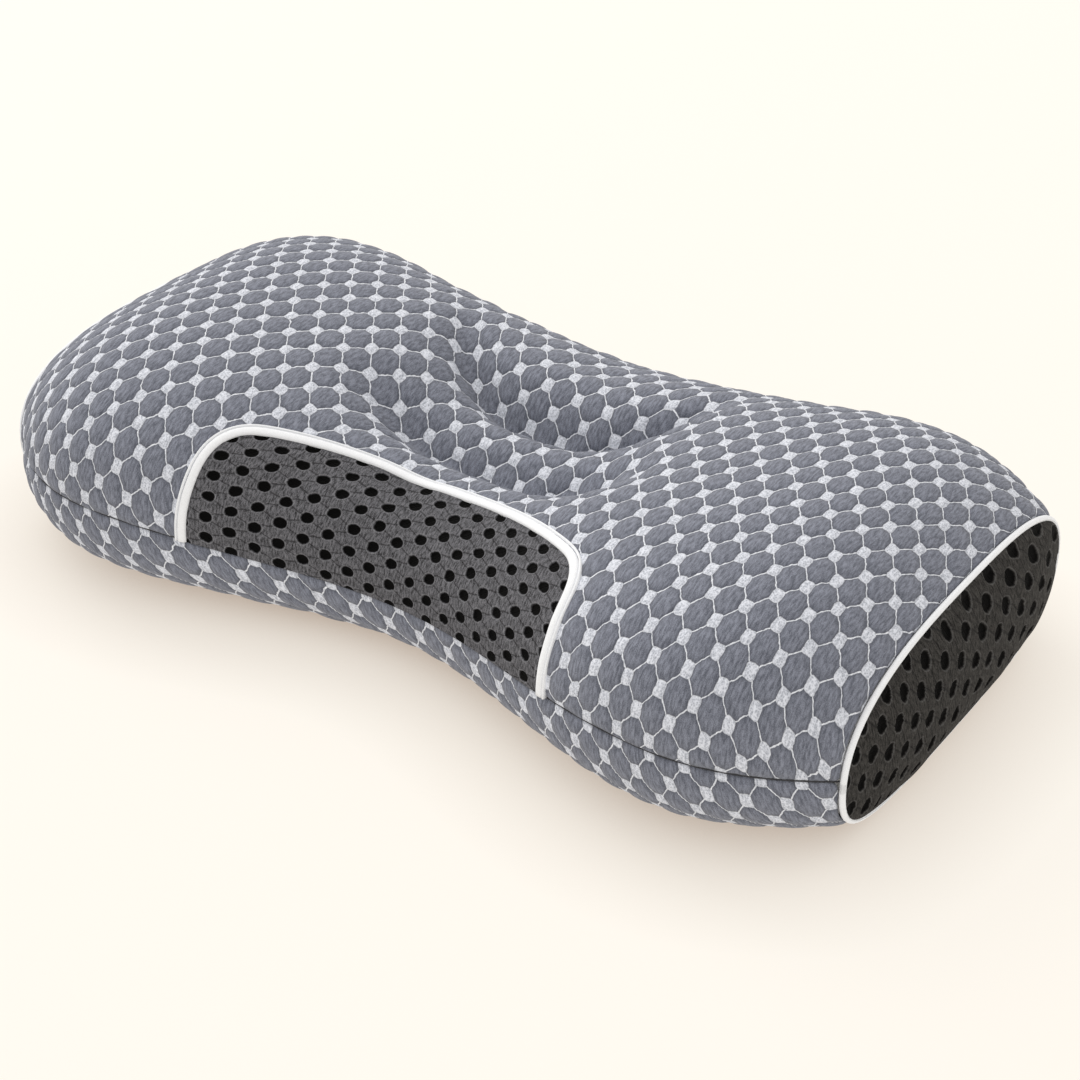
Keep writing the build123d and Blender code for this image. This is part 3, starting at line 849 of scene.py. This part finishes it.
def plain_cloth(name, low, high, roughness=0.85, weave=1500.0, place=None):
    """A woven tape or lining: fine ribs crossed by fibres."""
    material, tree, shader = finish(name, roughness, Specular_IOR_Level=0.3)
    place = cloth_place(tree) if place else add_node(tree, "ShaderNodeTexCoord").outputs["Object"]
    fibre = use(tree, yarn, Cloth=place, Fibre=weave)
    wave = {"Vector": place, "Scale": 480.0, "Distortion": 1.0}
    rib = add_node(tree, "ShaderNodeTexWave", wave, bands_direction="DIAGONAL")
    ribbed = calc(tree, "MULTIPLY", rib.outputs["Fac"], 0.4)
    shade = calc(tree, "MULTIPLY_ADD", fibre.outputs["Tone"], 0.6, ribbed)
    tree.links.new(mixed(tree, shade, low, high), shader.inputs["Base Color"])
    bumped(tree, shader, shade, 0.12)
    return material


def granules():
    material, tree, shader = finish("filling_granules", 0.6)
    place = add_node(tree, "ShaderNodeTexCoord").outputs["Object"]
    grain = add_node(tree, "ShaderNodeTexVoronoi", {"Vector": place, "Scale": 160.0})
    colour = mixed(tree, grain.outputs["Distance"], tone(0.9), tone(0.6, 0.03))
    tree.links.new(colour, shader.inputs["Base Color"])
    bumped(tree, shader, grain.outputs["Distance"], 1.5)
    return material


def coated_metal():
    material, tree, shader = finish("coated_zip_metal", 0.4, Metallic=0.6)
    place = add_node(tree, "ShaderNodeTexCoord").outputs["Object"]
    scuff = add_node(tree, "ShaderNodeTexNoise", {"Vector": place, "Scale": 700.0, "Detail": 4.0})
    tree.links.new(mixed(tree, scuff.outputs[0], tone(0.07), tone(0.14)), shader.inputs["Base Color"])
    rubbed = calc(tree, "MULTIPLY_ADD", scuff.outputs[0], 0.3, 0.25)
    tree.links.new(rubbed, shader.inputs["Roughness"])
    bumped(tree, shader, scuff.outputs[0], 0.03)
    return material


knit = jacquard()
front_cloth = spacer_mesh(
    "front_spacer_mesh", FRONT_HOLES, tone(0.020, 0, 0.09), tone(0.185, 0, 0.10), tone(0.0005),
    tone(0.34, 0, 0.08), 0.4,
)
end_cloth = spacer_mesh(
    "end_spacer_mesh", END_HOLES, tone(0.005, 0.05, 0), tone(0.062, 0.05, 0), tone(0.0005, 0.1),
    tone(0.15, 0.02, 0.02), 0.4,
)
white_tape = plain_cloth("white_piping", tone(0.82, -0.02, 0.02), tone(0.94, -0.02, 0.02), place=True)
lining = plain_cloth("liner_cloth", tone(0.70), tone(0.85))
dark_tape = plain_cloth("zip_tape_cloth", tone(0.03, 0, 0.1), tone(0.07, 0, 0.1), weave=900.0)
# Near-black thread that also paints the seams' shade
seam_thread_and_shade = plain_cloth("seam_thread_and_shade", tone(0.025, 0, 0.1), tone(0.06, 0, 0.1), place=True)
nylon = plain_cloth("coil_nylon", tone(0.03, 0, 0.1), tone(0.055, 0, 0.1), roughness=0.4)
fill, metal = granules(), coated_metal()


def dress(piece, material, stands_for=(), body="pillow"):
    """Gives a piece its material and its body, and hides the CAD nodes it stands for."""
    piece.data.materials.clear()
    piece.data.materials.append(material)
    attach(piece, body)
    if stands_for:
        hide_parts(*stands_for)


dress(top, knit, ["top_cover"])
dress(base, knit, ["bottom_cover"])
dress(front, front_cloth, ["front_mesh_panel"])
for piece, name in zip(ends, ("left", "right")):
    dress(piece, end_cloth, [name + "_mesh_gusset"])
dress(band, white_tape, ["front_piping"])
for piece, name in zip(pipings, ("left", "right")):
    dress(piece, white_tape, [name + "_piping"])
for piece in threads:
    dress(piece, seam_thread_and_shade)
for piece, name in zip(coils, ("upper", "lower")):
    dress(piece, nylon, ["zip_coil_" + name])

CARRIED = {
    "liner": lining, "fill": fill, "partition": lining,
    "zip_tape": dark_tape, "zip_metal": metal, "zip_coil": nylon,
}
for entry in frame["record"]["subparts"]:
    if entry["material_slot"] in CARRIED:
        node = frame["nodes"][entry["node"]]
        node.data.materials.clear()
        node.data.materials.append(CARRIED[entry["material_slot"]])


# ---------------------------------------------------------------- stage, light and camera

bpy.ops.object.select_all(action="DESELECT")
bpy.ops.mesh.primitive_plane_add(size=12, location=(0, 0, 0))
floor = bpy.context.object
floor.name = "floor"
floor_finish, floor_tree, floor_shader = finish(
    "pale_floor", 0.95, Base_Color=(0.13, 0.124, 0.114, 1), Emission_Strength=0.85
)
# Painted contact shadow: the floor's glow turns to a warm brown where ambient occlusion finds the pillow
# close by
openness = add_node(floor_tree, "ShaderNodeAmbientOcclusion", {"Distance": 0.07})
open_share = calc(floor_tree, "POWER", openness.outputs["AO"], 0.42)
glow_with_painted_shadow = mixed(floor_tree, open_share, (0.30, 0.18, 0.10, 1), (1.0, 0.95, 0.872, 1))
floor_tree.links.new(glow_with_painted_shadow, floor_shader.inputs["Emission Color"])
floor.data.materials.append(floor_finish)

world = bpy.context.scene.world or bpy.data.worlds.new("World")
bpy.context.scene.world = world
world.use_nodes = True
world.node_tree.nodes["Background"].inputs[0].default_value = (1.0, 0.972, 0.93, 1)
world.node_tree.nodes["Background"].inputs[1].default_value = 0.95


def soft_light(name, place, size, power, colour=(1, 1, 1)):
    light = bpy.data.lights.new(name, "AREA")
    light.size, light.energy, light.color = size, power, colour
    lamp = bpy.data.objects.new(name, light)
    lamp.location = place
    lamp.rotation_euler = (Vector((0, 0, 0.05)) - Vector(place)).to_track_quat("-Z", "Y").to_euler()
    bpy.context.collection.objects.link(lamp)


soft_light("key", (-3.2, 0.9, 2.8), 2.2, 82, (1, 0.985, 0.96))

camera = bpy.data.objects.new("camera", bpy.data.cameras.new("camera"))
camera.data.lens, camera.data.sensor_width = 71.3, 36
camera.location = (0.6326, -0.8600, 0.7264)
aim = Vector((0.0339, -0.0166, 0.05065))
camera.rotation_euler = (aim - camera.location).to_track_quat("-Z", "Y").to_euler()
bpy.context.collection.objects.link(camera)
bpy.context.scene.camera = camera
bpy.context.scene.view_settings.view_transform = "Standard"
